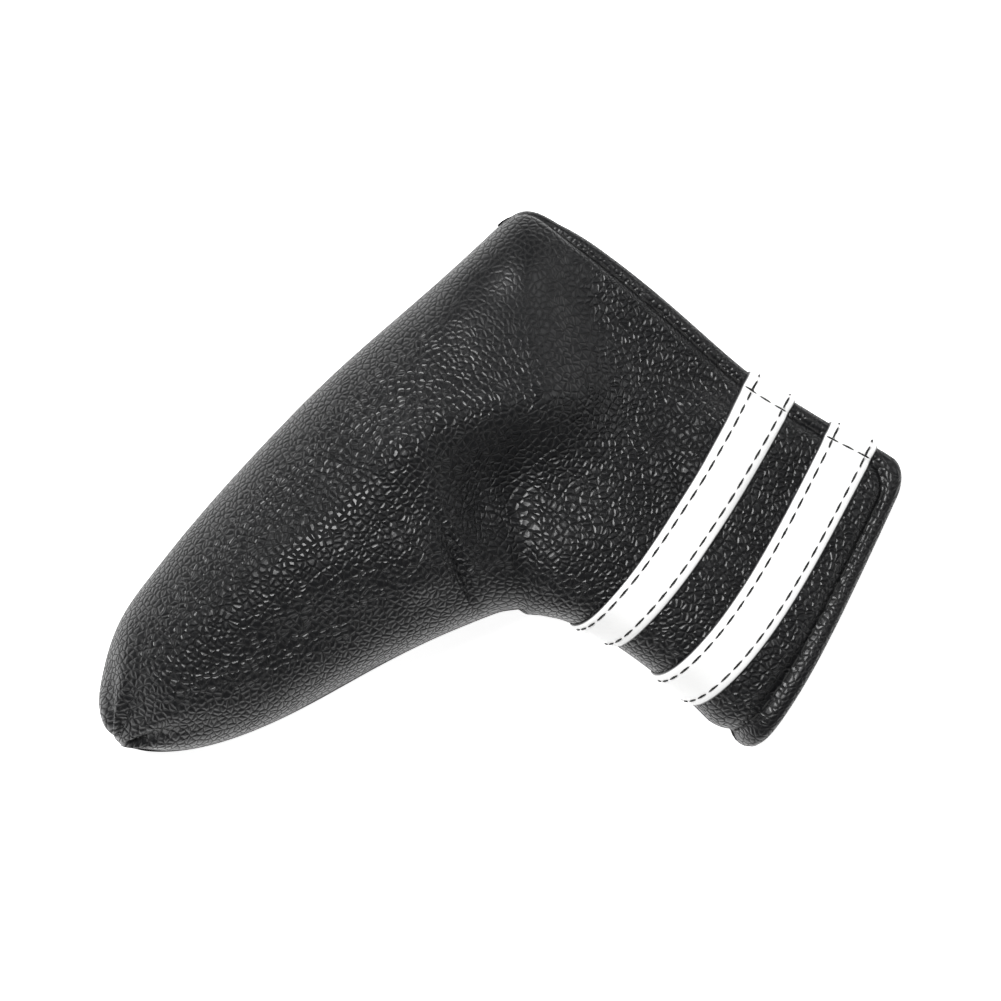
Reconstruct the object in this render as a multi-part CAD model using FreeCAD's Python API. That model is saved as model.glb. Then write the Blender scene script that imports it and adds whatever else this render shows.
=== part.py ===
"""Blade putter head cover: a padded leather sock with two white stripes.

The cover lies on its back, as it does on a table. +X runs towards the toe, +Y towards the mouth where the
shaft comes out, +Z out of the front. The origin is under the middle of the cover, on the table.

Every sheet of the wall is laid out on two surfaces, one for the front and one for the back. They run along
the cover from the toe to the mouth, through the stations below, and across it from the sole and heel edge (0)
to the instep edge (1). A sheet lies between two depths under the outer surface. The sole is a fold, the
instep edge is a seam, and the heel edge is open from the end of the sole to the mouth. There the free corner
of the front, the leaf, folds open about a line from the end of the sole to the instep end of the mouth.
"""

import FreeCAD, Part
import math
import os
from collections import namedtuple

from FreeCAD import Vector

# Layers of the wall, in millimetres
LEATHER = 1.2
PADDING = 2.5
LINING = 1.0
LAYER_GAP = 0.1  # glue between two layers
WALL = LEATHER + PADDING + LINING
SEAM_GAP = 0.1  # each panel stops this far from the seam
SLIT_HALF = 1.4  # half of the slit between the two leaves at the heel edge
LEAF_FLAT = 0.5  # share of the width over which the open heel edge starts out nearly flat
LEAF_RISE = 2.0  # how far the flat start rises

# White stripes and thread
STRIPE = 0.8
THREAD = 0.6  # width of a stitch
THREAD_HEIGHT = 0.35
THREAD_CLEAR = 0.05
STITCH = 2.8
STITCH_PITCH = 4.1
STRIPE_INSET = 2.0  # from an edge of a stripe to its row of stitches
HEM_INSET = 3.2  # from the open edge to the hem's row of stitches

# Hook and loop tapes, inside the open heel edge
TAPE = 1.2
TAPE_WIDTH = 16.0
TAPE_INSET = 5.0  # from the heel edge
TAPE_START = 4.0  # past the station before the inner stripe
TAPE_STITCH_INSET = 1.8

# Fold line of the leaf, in plan, and the clearance cut along it
FOLD_HEEL = Vector(-72.6, -53.0, 0)
FOLD_INSTEP = Vector(-20.0, 65.0, 0)
FOLD_GAP = 0.5
FAR = 200.0  # longer than the cover

# A station: its points on the sole or heel edge and on the instep edge, in plan, the height of the seam at
# both, the height of the front's crown and of the back's lowest line, how far the heel edge is open, and how
# far the line between its points bows towards the mouth.
Station = namedtuple("Station", "heel instep heel_z instep_z top base opening bow")
TOE = Vector(88.2, -45.3, 17.0)
TOE_HALF = 0.4  # half of the short edge in which each sheet ends at the toe
STATIONS = [
    Station((87.0, -49.6), (87.6, -41.8), 17.2, 17.2, 21.6, 12.6, 0.0, 0.0),
    Station((85.0, -53.4), (85.4, -38.4), 17.6, 17.6, 25.4, 9.0, 0.0, 0.0),
    Station((80.6, -57.6), (80.4, -34.0), 18.2, 18.2, 30.2, 4.8, 0.0, 0.0),
    Station((71.0, -63.2), (71.2, -27.6), 19.2, 19.2, 36.0, 1.1, 0.0, 0.0),
    Station((55.0, -66.3), (56.6, -20.4), 20.0, 20.0, 40.6, -0.4, 0.0, 0.0),
    Station((34.0, -67.8), (37.4, -13.9), 20.6, 20.4, 43.2, -0.7, 0.0, 0.0),
    Station((10.0, -68.1), (19.6, -7.5), 20.6, 20.2, 44.2, -0.7, 0.0, 0.0),
    Station((-16.0, -67.0), (6.8, -1.7), 20.2, 19.4, 43.6, -0.7, 0.0, 0.0),
    Station((-44.0, -64.2), (2.5, 0.7), 19.2, 18.4, 41.0, -0.5, 0.0, 0.4),
    Station((-61.5, -62.9), (0.2, 2.6), 18.2, 17.6, 38.2, -0.1, 0.0, 1.0),
    Station((-70.6, -60.6), (-1.1, 3.7), 17.4, 17.0, 35.8, 0.3, 0.12, 1.6),
    Station((-74.4, -52.4), (-2.2, 4.8), 16.4, 16.4, 33.8, 0.7, 0.6, 2.2),
    Station((-76.4, -39.0), (-3.7, 6.6), 15.0, 15.6, 31.8, 1.1, 0.9, 3.0),
    Station((-77.8, -18.0), (-5.6, 9.6), 13.4, 14.6, 29.6, 1.4, 1.0, 4.0),
    Station((-78.8, 4.4), (-7.5, 13.6), 12.6, 13.8, 28.0, 1.5, 1.0, 4.6),
    Station((-81.2, 17.4), (-10.9, 24.8), 12.3, 13.2, 27.2, 1.5, 1.0, 4.4),
    Station((-83.2, 26.8), (-12.4, 36.0), 12.1, 13.0, 26.8, 1.5, 1.0, 5.2),
    Station((-86.6, 39.2), (-13.2, 48.2), 12.0, 12.8, 26.4, 1.5, 1.0, 5.2),
    Station((-87.8, 47.4), (-12.2, 66.6), 12.0, 12.6, 26.0, 1.6, 1.0, 3.4),
]
STRIPES = {"inner": (15, 16), "outer": (17, 18)}  # stations along the edges of each stripe
HEM_START = 12  # station where the hem's stitches begin
ACROSS = [j / 10.0 for j in range(11)]
MIDDLE_HEIGHT = 16.0  # between the two sides everywhere


def distance_in_plan(a, b):
    """Distance between two (x, y) points."""
    return math.hypot(a[0] - b[0], a[1] - b[1])


def run_along():
    """Length run from the toe to each station, halfway between the runs of its two edges."""
    runs = [0.0, 0.5 * distance_in_plan(STATIONS[0].heel, STATIONS[0].instep)]
    for before, after in zip(STATIONS, STATIONS[1:]):
        heel_step = distance_in_plan(before.heel, after.heel)
        instep_step = distance_in_plan(before.instep, after.instep)
        runs.append(runs[-1] + 0.5 * (heel_step + instep_step))
    return runs


ALONG = run_along()


def bezier(a, b, c, d, t):
    """Value at t of the cubic Bezier curve with these four control values."""
    r = 1.0 - t
    return r**3 * a + 3 * r * r * t * b + 3 * r * t * t * c + t**3 * d


def section_point(station, up, t):
    """Point on the outer surface at t across one station, on the front (up is 1) or the back (-1)."""
    heel_z = station.heel_z + up * (SEAM_GAP + station.opening * (SLIT_HALF + WALL))
    instep_z = station.instep_z + up * SEAM_GAP
    crown = station.top if up > 0 else station.base
    round_z = (8.0 * crown - heel_z - instep_z) / 6.0
    flat_z = heel_z + up * LEAF_RISE
    flatness = station.opening**2
    first_z = round_z + flatness * (flat_z - round_z)
    second_z = (8.0 * crown - heel_z - instep_z - 3.0 * first_z) / 3.0
    share = bezier(0.0, flatness * LEAF_FLAT, 1.0, 1.0, t)
    x = station.heel[0] + share * (station.instep[0] - station.heel[0])
    y = station.heel[1] + share * (station.instep[1] - station.heel[1])
    y += station.bow * math.sin(math.pi * t)
    return Vector(x, y, bezier(heel_z, first_z, second_z, instep_z, t))


def toe_row(up, depth):
    """The short edge, across the toe, in which the surface at a depth ends."""
    middle = TOE + Vector(-depth, 0, up * SEAM_GAP)
    return [middle + Vector(0, TOE_HALF * (2.0 * t - 1.0), 0) for t in ACROSS]


def curve_data(points, parameters):
    """Poles, knots and multiplicities of the cubic curve through points at the given parameters."""
    curve = Part.BSplineCurve()
    curve.interpolate(Points=points, Parameters=parameters)
    return curve.getPoles(), curve.getKnots(), curve.getMultiplicities()


def surface_through(rows):
    """B-spline surface through a grid of points: rows run along the cover, columns across it."""
    columns = [curve_data(list(column), ALONG) for column in zip(*rows)]
    net = [curve_data(list(row), ACROSS) for row in zip(*[column[0] for column in columns])]
    poles = [row[0] for row in net]
    surface = Part.BSplineSurface()
    surface.buildFromPolesMultsKnots(
        poles, columns[0][2], net[0][2], columns[0][1], net[0][1], False, False, 3, 3
    )
    return surface


def ruled_face(curve, other):
    """Face of straight lines between two curves that have the same knots."""
    surface = Part.BSplineSurface()
    surface.buildFromPolesMultsKnots(
        [curve.getPoles(), other.getPoles()],
        [2, 2], curve.getMultiplicities(), [0.0, 1.0], curve.getKnots(), False, False, 1, 3
    )
    return surface.toShape()


class Panel:
    """The front or the back of the cover, with its surfaces kept by depth."""

    def __init__(self, name, up):
        self.name = name
        self.up = up
        rows = [toe_row(up, 0.0)]
        rows += [[section_point(station, up, t) for t in ACROSS] for station in STATIONS]
        self.outer = surface_through(rows)
        self.by_depth = {0.0: self.outer}

    def outward(self, i, t, surface=None):
        """Unit normal out of the cover at station i. It is level at a closed seam, so both sides agree."""
        return self.outward_at(ALONG[i], t, surface, t == 0.0 and STATIONS[i - 1].opening == 0.0)

    def outward_at(self, run, t, surface=None, level=False):
        """Unit normal out of the cover at a run along it."""
        surface = surface or self.outer
        along, across = surface.tangent(run, t)
        normal = along.cross(across)
        if level or t == 1.0:
            normal.z = 0.0
        normal.normalize()
        crown = surface.value(run, 0.5)
        inside = Vector(crown.x, crown.y, MIDDLE_HEIGHT)
        return normal if normal.dot(surface.value(run, t) - inside) > 0 else -normal

    def surface(self, depth):
        """The surface at a depth under the outside, made once. A negative depth lies over it."""
        key = round(depth, 4)
        if key not in self.by_depth:
            rows = [toe_row(self.up, key)]
            for i in range(1, len(ALONG)):
                rows.append([self.outer.value(ALONG[i], t) - self.outward(i, t) * key for t in ACROSS])
            self.by_depth[key] = surface_through(rows)
        return self.by_depth[key]

    def sheet(self, shallow, deep, along=(0.0, ALONG[-1]), across=(0.0, 1.0)):
        """Closed solid between two depths, over a stretch of the panel."""
        lids = []
        for depth in (shallow, deep):
            lid = self.surface(depth).copy()
            lid.segment(along[0], along[1], across[0], across[1])
            lids.append(lid)
        faces = [lid.toShape() for lid in lids]
        faces += [ruled_face(lids[0].vIso(edge), lids[1].vIso(edge)) for edge in across]
        faces += [ruled_face(lids[0].uIso(edge), lids[1].uIso(edge)) for edge in along]
        return closed_solid(faces)

    def stitches(self, path, depth):
        """Separate straight stitches along a path of (run, across) pairs, on the surface at a depth."""
        surface = self.surface(depth)
        points = [surface.value(run, t) for run, t in path]
        steps = [a.distanceToPoint(b) for a, b in zip(points, points[1:])]
        total = sum(steps)
        count = max(1, int((total - STITCH) / STITCH_PITCH) + 1)
        first = 0.5 * (total - (count - 1) * STITCH_PITCH)
        found = []
        for k in range(count):
            start = first + k * STITCH_PITCH
            i = 0
            while i < len(steps) - 1 and start > steps[i]:
                start -= steps[i]
                i += 1
            share = start / steps[i]
            run = path[i][0] + share * (path[i + 1][0] - path[i][0])
            t = path[i][1] + share * (path[i + 1][1] - path[i][1])
            centre = points[i] + (points[i + 1] - points[i]) * share
            forward = (points[i + 1] - points[i]).normalize()
            normal = self.outward_at(run, t, surface) * (1.0 if depth <= 0.0 else -1.0)
            found.append(stitch(centre, forward, normal))
        return found


def closed_solid(faces):
    """Solid from faces that meet edge to edge, turned so that its volume is positive."""
    shell = Part.Shell(faces)
    shell.sewShape()
    solid = Part.Solid(shell)
    if solid.Volume < 0:
        solid.reverse()
    return solid


def stitch(centre, forward, normal):
    """One stitch: a short bar of thread, lying just over the point it is centred on."""
    side = normal.cross(forward).normalize()
    level = forward.cross(side).normalize()
    bar = Part.makeBox(STITCH, THREAD, THREAD_HEIGHT)
    bar.translate(Vector(-0.5 * STITCH, -0.5 * THREAD, THREAD_CLEAR))
    turn = FreeCAD.Matrix(
        forward.x, side.x, level.x, centre.x,
        forward.y, side.y, level.y, centre.y,
        forward.z, side.z, level.z, centre.z,
        0, 0, 0, 1,
    )
    bar.transformShape(turn)
    return bar


def fold_frame():
    """Unit vectors along the fold line and square to it, towards the free corner of the leaf."""
    forward = (FOLD_INSTEP - FOLD_HEEL).normalize()
    return forward, Vector(-forward.y, forward.x, 0)


def beyond_fold(point):
    """Distance of a point from the fold line, positive on the leaf's side."""
    return (point - FOLD_HEEL).dot(fold_frame()[1])


def half_space(leaf):
    """Block that holds all that is on the leaf's side of the fold line, or all that is on the other."""
    forward, square = fold_frame()
    if not leaf:
        forward, square = -forward, -square
    corner = FOLD_HEEL - forward * FAR + square * (0.5 * FOLD_GAP)
    corners = [corner, corner + forward * (2 * FAR), corner + forward * (2 * FAR) + square * FAR]
    corners.append(corner + square * FAR)
    block = Part.Face(Part.makePolygon(corners + corners[:1])).extrude(Vector(0, 0, FAR))
    block.translate(Vector(0, 0, -0.5 * FAR))
    return block


def only_solid(shape):
    """The one solid that a cut leaves; a cut that leaves more than one is a mistake."""
    if len(shape.Solids) != 1:
        raise ValueError("a cut left %d solids" % len(shape.Solids))
    return shape.Solids[0]


def split_at_fold(solid):
    """A solid's part on the pocket's side of the fold line and its part on the leaf."""
    return [only_solid(solid.common(half_space(leaf))) for leaf in (False, True)]


def stand_on_table(solid):
    """Cut off what lies under the table's level, so that the back has a flat face to rest on."""
    table = Part.makeBox(2 * FAR, 2 * FAR, FAR, Vector(-FAR, -FAR, -FAR))
    return only_solid(solid.cut(table))


def wall_layers(front, back):
    """Leather, padding and lining of both sides; the front's are split at the fold line."""
    nodes = {}
    layers = {
        "cover": (0.0, LEATHER),
        "padding": (LEATHER + LAYER_GAP, LEATHER + PADDING - LAYER_GAP),
        "lining": (LEATHER + PADDING, WALL),
    }
    for name, (shallow, deep) in layers.items():
        fixed, leaf = split_at_fold(front.sheet(shallow, deep))
        nodes["front_" + name] = [fixed]
        nodes["leaf_" + name] = [leaf]
        nodes["back_" + name] = [stand_on_table(back.sheet(shallow, deep))]
    return nodes


def stripes(front, back):
    """Two white stripes, sewn over the leather from the heel edge to the instep seam."""
    nodes = {}
    for name, (first, last) in STRIPES.items():
        along = (ALONG[first], ALONG[last])
        strip = front.sheet(-STRIPE - LAYER_GAP, -LAYER_GAP, along)
        fixed, leaf = split_at_fold(strip)
        nodes["front_%s_stripe" % name] = [fixed]
        nodes["leaf_%s_stripe" % name] = [leaf]
        nodes["back_%s_stripe" % name] = [back.sheet(-STRIPE - LAYER_GAP, -LAYER_GAP, along)]
    return nodes


def row_across(run, start=0.03, end=0.97):
    """Path straight across the cover at one run along it."""
    return [(run, start + (end - start) * k / 40.0) for k in range(41)]


def stripe_rows(panel):
    """Two rows of stitches along each stripe of a panel."""
    found = []
    for first, last in STRIPES.values():
        for run in (ALONG[first] + STRIPE_INSET, ALONG[last] - STRIPE_INSET):
            found += panel.stitches(row_across(run), -STRIPE - LAYER_GAP)
    return found


def hem_row(panel):
    """One row of stitches along the open heel edge and the mouth, except where it crosses the stripes."""
    heel_share = HEM_INSET / distance_in_plan(STATIONS[-1].heel, STATIONS[-1].instep)
    stops = [ALONG[HEM_START]]
    for first, last in STRIPES.values():
        stops += [ALONG[first] - THREAD, ALONG[last] + THREAD]
    stops.append(ALONG[-1] - HEM_INSET)
    found = []
    for start, end in zip(stops[::2], stops[1::2]):
        path = [(start + (end - start) * k / 20.0, 2.0 * heel_share / 3.0) for k in range(21)]
        found += panel.stitches(path, 0.0)
    return found + panel.stitches(row_across(ALONG[-1] - HEM_INSET, 0.04), 0.0)


def threads(front, back):
    """Stitches of the stripes and the hem. Those on the front go with the part that they lie on."""
    nodes = {}
    for name, rows in (("stripe", stripe_rows), ("hem", hem_row)):
        nodes["back_%s_stitching" % name] = rows(back)
        on_front = [(bar, beyond_fold(bar.CenterOfMass)) for bar in rows(front)]
        clear = 0.5 * (STITCH + FOLD_GAP)
        nodes["front_%s_stitching" % name] = [bar for bar, past in on_front if past < -clear]
        nodes["leaf_%s_stitching" % name] = [bar for bar, past in on_front if past > clear]
    return nodes


def across_at(distance):
    """Share of the way across at a distance from the open heel edge, halfway along the tapes."""
    width = distance_in_plan(STATIONS[15].heel, STATIONS[15].instep)
    low, high = 0.0, 1.0
    for _ in range(30):
        middle = 0.5 * (low + high)
        if bezier(0.0, LEAF_FLAT, 1.0, 1.0, middle) * width < distance:
            low = middle
        else:
            high = middle
    return low


def tapes(front, back):
    """Hook tape inside the back and loop tape inside the leaf, each sewn on along both edges."""
    nodes = {}
    across = (across_at(TAPE_INSET), across_at(TAPE_INSET + TAPE_WIDTH))
    seams = (
        across_at(TAPE_INSET + TAPE_STITCH_INSET),
        across_at(TAPE_INSET + TAPE_WIDTH - TAPE_STITCH_INSET),
    )
    along = (ALONG[14] + TAPE_START, ALONG[18])
    inner = WALL + LAYER_GAP
    ends = (along[0] + TAPE_STITCH_INSET, along[1] - TAPE_STITCH_INSET)
    for node, panel in (("hook_tape", back), ("loop_tape", front)):
        nodes[node] = [panel.sheet(inner, inner + TAPE, along, across)]
        rows = []
        for t in seams:
            path = [(ends[0] + (ends[1] - ends[0]) * k / 20.0, t) for k in range(21)]
            rows += panel.stitches(path, inner + TAPE)
        nodes[node + "_stitching"] = rows
    return nodes


def report_fold(front):
    """Print where the leaf's hinge axis goes: over the highest point along the fold line."""
    runs = [ALONG[-1] * (0.5 + 0.5 * i / 199.0) for i in range(200)]
    points = [front.outer.value(run, t / 100.0) for run in runs for t in range(101)]
    highest = max(point.z for point in points if abs(beyond_fold(point)) < 1.0)
    forward = fold_frame()[0]
    print("fold direction", tuple(round(v, 5) for v in forward), "highest", round(highest, 2))


def main():
    os.makedirs("parts", exist_ok=True)
    front = Panel("front", 1.0)
    back = Panel("back", -1.0)
    nodes = {}
    nodes.update(wall_layers(front, back))
    nodes.update(stripes(front, back))
    nodes.update(threads(front, back))
    nodes.update(tapes(front, back))
    for name, solids in nodes.items():
        shape = solids[0] if len(solids) == 1 else Part.makeCompound(solids)
        if not shape.isValid():
            raise ValueError(name + " is not valid")
        shape.exportStep("parts/%s.step" % name)
        box = shape.optimalBoundingBox()
        extent = tuple(round(v, 1) for v in (box.XMin, box.XMax, box.YMin, box.YMax, box.ZMin, box.ZMax))
        print("%-24s %3d solids %9.1f mm3" % (name, len(solids), shape.Volume), extent)
    report_fold(front)


main()
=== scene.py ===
"""Putter head cover in black pebbled leather with two white stripes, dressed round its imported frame."""

import logging
import math
from dataclasses import dataclass, field
from enum import Enum
from functools import partial
from typing import Callable

import bmesh
import bpy
import numpy as np
from mathutils import Matrix, Vector, noise


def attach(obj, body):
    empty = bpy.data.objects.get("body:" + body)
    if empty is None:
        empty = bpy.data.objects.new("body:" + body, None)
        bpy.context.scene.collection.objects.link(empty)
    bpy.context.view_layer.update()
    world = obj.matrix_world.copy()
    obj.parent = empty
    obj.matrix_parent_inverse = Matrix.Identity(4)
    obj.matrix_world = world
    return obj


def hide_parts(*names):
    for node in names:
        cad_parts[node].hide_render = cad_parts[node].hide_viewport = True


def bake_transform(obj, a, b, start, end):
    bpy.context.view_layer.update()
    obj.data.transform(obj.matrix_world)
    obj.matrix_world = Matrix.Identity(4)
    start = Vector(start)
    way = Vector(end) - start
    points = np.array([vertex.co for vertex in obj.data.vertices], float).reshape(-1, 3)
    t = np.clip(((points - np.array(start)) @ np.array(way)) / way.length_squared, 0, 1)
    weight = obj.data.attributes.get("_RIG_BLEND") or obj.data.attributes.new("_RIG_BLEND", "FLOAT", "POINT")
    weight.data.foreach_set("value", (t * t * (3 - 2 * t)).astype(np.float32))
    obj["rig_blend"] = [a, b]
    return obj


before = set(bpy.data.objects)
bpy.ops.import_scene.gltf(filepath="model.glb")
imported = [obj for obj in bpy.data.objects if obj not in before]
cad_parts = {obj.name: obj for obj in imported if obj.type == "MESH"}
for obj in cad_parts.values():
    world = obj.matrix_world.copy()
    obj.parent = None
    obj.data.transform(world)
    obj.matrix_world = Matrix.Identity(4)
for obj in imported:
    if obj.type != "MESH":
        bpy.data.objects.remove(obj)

logging.basicConfig(level=logging.INFO, format="%(message)s")
LOG = logging.getLogger("head_cover")

MM = 0.001
EDGE = 0.999
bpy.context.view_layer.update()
POCKET = "pocket"
LEAF = "leaf"


class Side(Enum):
    """The two panels of the cover, with the way each bulges."""

    FRONT = 1.0
    BACK = -1.0

    @property
    def parts(self) -> tuple[str, ...]:
        """First words of the CAD nodes that make up the side."""
        return ("front", "leaf") if self is Side.FRONT else ("back",)


@dataclass(frozen=True)
class Station:
    """One line across the cover, in millimetres.

    Attributes:
        heel: Its point on the sole or heel edge, in plan.
        instep: Its point on the instep edge, in plan.
        heel_z: Height of the seam at the heel end.
        instep_z: Height of the seam at the instep end.
        top: Height of the front's crown.
        base: Height of the back's lowest line.
        opening: How far the heel edge is open, from 0 to 1.
        bow: How far the line bows towards the mouth.
    """

    heel: tuple[float, float]
    instep: tuple[float, float]
    heel_z: float
    instep_z: float
    top: float
    base: float
    opening: float
    bow: float


STATIONS = (
    Station((87.0, -49.6), (87.6, -41.8), 17.2, 17.2, 21.6, 12.6, 0.0, 0.0),
    Station((85.0, -53.4), (85.4, -38.4), 17.6, 17.6, 25.4, 9.0, 0.0, 0.0),
    Station((80.6, -57.6), (80.4, -34.0), 18.2, 18.2, 30.2, 4.8, 0.0, 0.0),
    Station((71.0, -63.2), (71.2, -27.6), 19.2, 19.2, 36.0, 1.1, 0.0, 0.0),
    Station((55.0, -66.3), (56.6, -20.4), 20.0, 20.0, 40.6, -0.4, 0.0, 0.0),
    Station((34.0, -67.8), (37.4, -13.9), 20.6, 20.4, 43.2, -0.7, 0.0, 0.0),
    Station((10.0, -68.1), (19.6, -7.5), 20.6, 20.2, 44.2, -0.7, 0.0, 0.0),
    Station((-16.0, -67.0), (6.8, -1.7), 20.2, 19.4, 43.6, -0.7, 0.0, 0.0),
    Station((-44.0, -64.2), (2.5, 0.7), 19.2, 18.4, 41.0, -0.5, 0.0, 0.4),
    Station((-61.5, -62.9), (0.2, 2.6), 18.2, 17.6, 38.2, -0.1, 0.0, 1.0),
    Station((-70.6, -60.6), (-1.1, 3.7), 17.4, 17.0, 35.8, 0.3, 0.12, 1.6),
    Station((-74.4, -52.4), (-2.2, 4.8), 16.4, 16.4, 33.8, 0.7, 0.6, 2.2),
    Station((-76.4, -39.0), (-3.7, 6.6), 15.0, 15.6, 31.8, 1.1, 0.9, 3.0),
    Station((-77.8, -18.0), (-5.6, 9.6), 13.4, 14.6, 29.6, 1.4, 1.0, 4.0),
    Station((-78.8, 4.4), (-7.5, 13.6), 12.6, 13.8, 28.0, 1.5, 1.0, 4.6),
    Station((-81.2, 17.4), (-10.9, 24.8), 12.3, 13.2, 27.2, 1.5, 1.0, 4.4),
    Station((-83.2, 26.8), (-12.4, 36.0), 12.1, 13.0, 26.8, 1.5, 1.0, 5.2),
    Station((-86.6, 39.2), (-13.2, 48.2), 12.0, 12.8, 26.4, 1.5, 1.0, 5.2),
    Station((-87.8, 47.4), (-12.2, 66.6), 12.0, 12.6, 26.0, 1.6, 1.0, 3.4),
)
STRIPES = {"inner": (15, 16), "outer": (17, 18)}
Place = Callable[[np.ndarray, np.ndarray], np.ndarray]


def bezier(a: float, b: float, c: float, d: float, t: np.ndarray) -> np.ndarray:
    """Value at t of the cubic Bezier curve with these four control values."""
    r = 1.0 - t
    return r**3 * a + 3 * r * r * t * b + 3 * r * t * t * c + t**3 * d


def smooth(low: float, high: float, x: np.ndarray | float) -> np.ndarray:
    """Smoothstep of x from 0 at low to 1 at high."""
    s = np.clip((x - low) / (high - low), 0.0, 1.0)
    return s * s * (3.0 - 2.0 * s)


def unit(v: np.ndarray) -> np.ndarray:
    """The rows of v at length 1."""
    return v / np.maximum(np.linalg.norm(v, axis=-1, keepdims=True), 1e-9)


def line_field(x: np.ndarray, y: np.ndarray, line: tuple) -> tuple[np.ndarray, np.ndarray]:
    """Distance from points to a polyline in plan, and how far along it the nearest point is.

    Args:
        x: Points' x.
        y: Points' y.
        line: The polyline's (x, y) points.

    Returns:
        Distance, and the share of the line's length from 0 to 1.
    """
    best = np.full(x.shape, 1e9)
    share = np.zeros(x.shape)
    steps = [math.dist(a, b) for a, b in zip(line, line[1:])]
    run = 0.0
    for (ax, ay), (bx, by), step in zip(line, line[1:], steps):
        s = np.clip(((x - ax) * (bx - ax) + (y - ay) * (by - ay)) / step**2, 0.0, 1.0)
        d = np.hypot(x - ax - s * (bx - ax), y - ay - s * (by - ay))
        nearer = d < best
        best = np.where(nearer, d, best)
        share = np.where(nearer, (run + s * step) / sum(steps), share)
        run += step
    return best, share


@dataclass
class Ridge:
    """A soft ridge or, with a negative height, a crease across the front, in millimetres."""

    line: tuple
    height: float
    width: float
    fade_in: float = 0.12
    fade_out: float = 0.12
    to_seam: bool = False

    def lift(self, x: np.ndarray, y: np.ndarray) -> np.ndarray:
        """Height of the ridge over points in plan."""
        distance, share = line_field(x, y, self.line)
        ends = smooth(-1e-3, self.fade_in, share) * smooth(-1e-2, self.fade_out, 1.0 - share)
        return self.height * ends * np.exp(-((distance / self.width) ** 2))


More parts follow.
